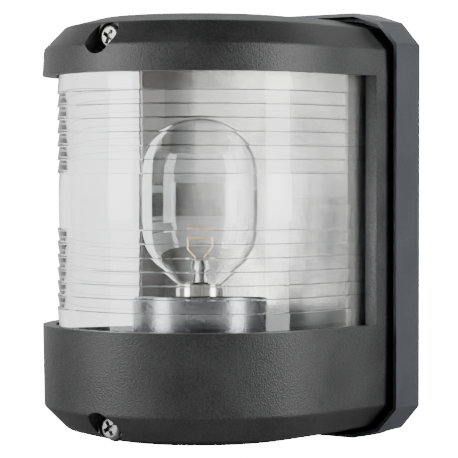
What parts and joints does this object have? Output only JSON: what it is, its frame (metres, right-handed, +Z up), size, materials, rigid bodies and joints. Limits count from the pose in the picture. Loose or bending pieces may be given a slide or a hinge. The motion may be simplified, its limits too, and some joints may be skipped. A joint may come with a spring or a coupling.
{
  "type": "navigation light",
  "caption": "Black bulkhead navigation light with a clear ribbed D-shaped lens, a bayonet lamp on a pedestal, a folded reflector and a screwed pull-off cover.",
  "frame": {"origin": "centre of the back face, which lies on the wall", "axes": "+Z up, the light looks along -Y, and +Y points out of the back into the wall"},
  "size_m": [0.106, 0.0953, 0.1354],
  "materials": {
    "base_plastic": "satin black moulded plastic, slightly blue",
    "cover_plastic": "fine-grained matt black moulded plastic",
    "lens_acrylic": "clear moulded acrylic",
    "seal_rubber": "black rubber",
    "reflector_sheet": "bright rolled aluminium",
    "screw_steel": "stainless steel",
    "pedestal_plastic": "silver-lacquered glossy plastic",
    "brass": "turned brass",
    "spring_steel": "spring steel",
    "insulator_black": "dark insulating plastic",
    "lamp_glass": "clear lamp glass",
    "cap_nickel": "nickel-plated brass",
    "solder": "dull solder",
    "filament_wire": "golden wire"
  },
  "bodies": {
    "base": {"base_housing": "base_plastic", "base_rim": "base_plastic", "base_deck": "base_plastic", "upper_arm": "base_plastic", "lower_arm": "base_plastic", "cover_seal": "seal_rubber", "reflector": "reflector_sheet", "reflector_screws": "screw_steel", "lamp_pedestal": "pedestal_plastic", "pedestal_screws": "screw_steel", "lampholder_shell": "brass", "holder_spring": "spring_steel", "contact_leads": "brass", "terminal_block": "insulator_black", "terminals": "brass", "terminal_screws": "screw_steel", "cable_grommet": "seal_rubber", "upper_insert": "brass", "lower_insert": "brass"},
    "cover": {"cover": "cover_plastic", "lens": "lens_acrylic", "upper_lens_gasket": "seal_rubber", "lower_lens_gasket": "seal_rubber", "upper_screw_washer": "seal_rubber", "lower_screw_washer": "seal_rubber"},
    "upper_screw": {"upper_screw": "screw_steel"},
    "lower_screw": {"lower_screw": "screw_steel"},
    "holder": {"contact_disc": "insulator_black", "contact_studs": "brass"},
    "lamp": {"lamp_glass": "lamp_glass", "lamp_cap": "cap_nickel", "lamp_pins": "cap_nickel", "lamp_insulator": "insulator_black", "lamp_pads": "solder", "lamp_stem": "lamp_glass", "filament_supports": "filament_wire", "filament": "filament_wire"}
  },
  "joints": [
    {"name": "cover_pull", "type": "slide", "parent": "base", "child": "cover", "axis": [0, -1, 0], "range_m": [0, 0.08]},
    {"name": "upper_screw_turn", "type": "hinge", "parent": "cover", "child": "upper_screw", "pos_m": [0, -0.08, 0.05795], "axis": [0, 1, 0], "continuous": true},
    {"name": "lower_screw_turn", "type": "hinge", "parent": "cover", "child": "lower_screw", "pos_m": [0, -0.08, -0.06045], "axis": [0, 1, 0], "continuous": true},
    {"name": "contact_press", "type": "slide", "parent": "base", "child": "holder", "axis": [0, 0, -1], "range_m": [0, 0.0018], "stiffness_N_per_m": 200, "springref_m": -0.002, "deforming": ["holder_spring", "contact_leads"]},
    {"name": "lamp_twist", "type": "hinge", "parent": "holder", "child": "lamp", "pos_m": [0, -0.0455, 0.00825], "axis": [0, 0, 1], "range_deg": [0, 20]}
  ],
  "couplings": [
    {"joint": "lamp_twist", "follows": "contact_press", "rad_per_m": 193.9}
  ]
}
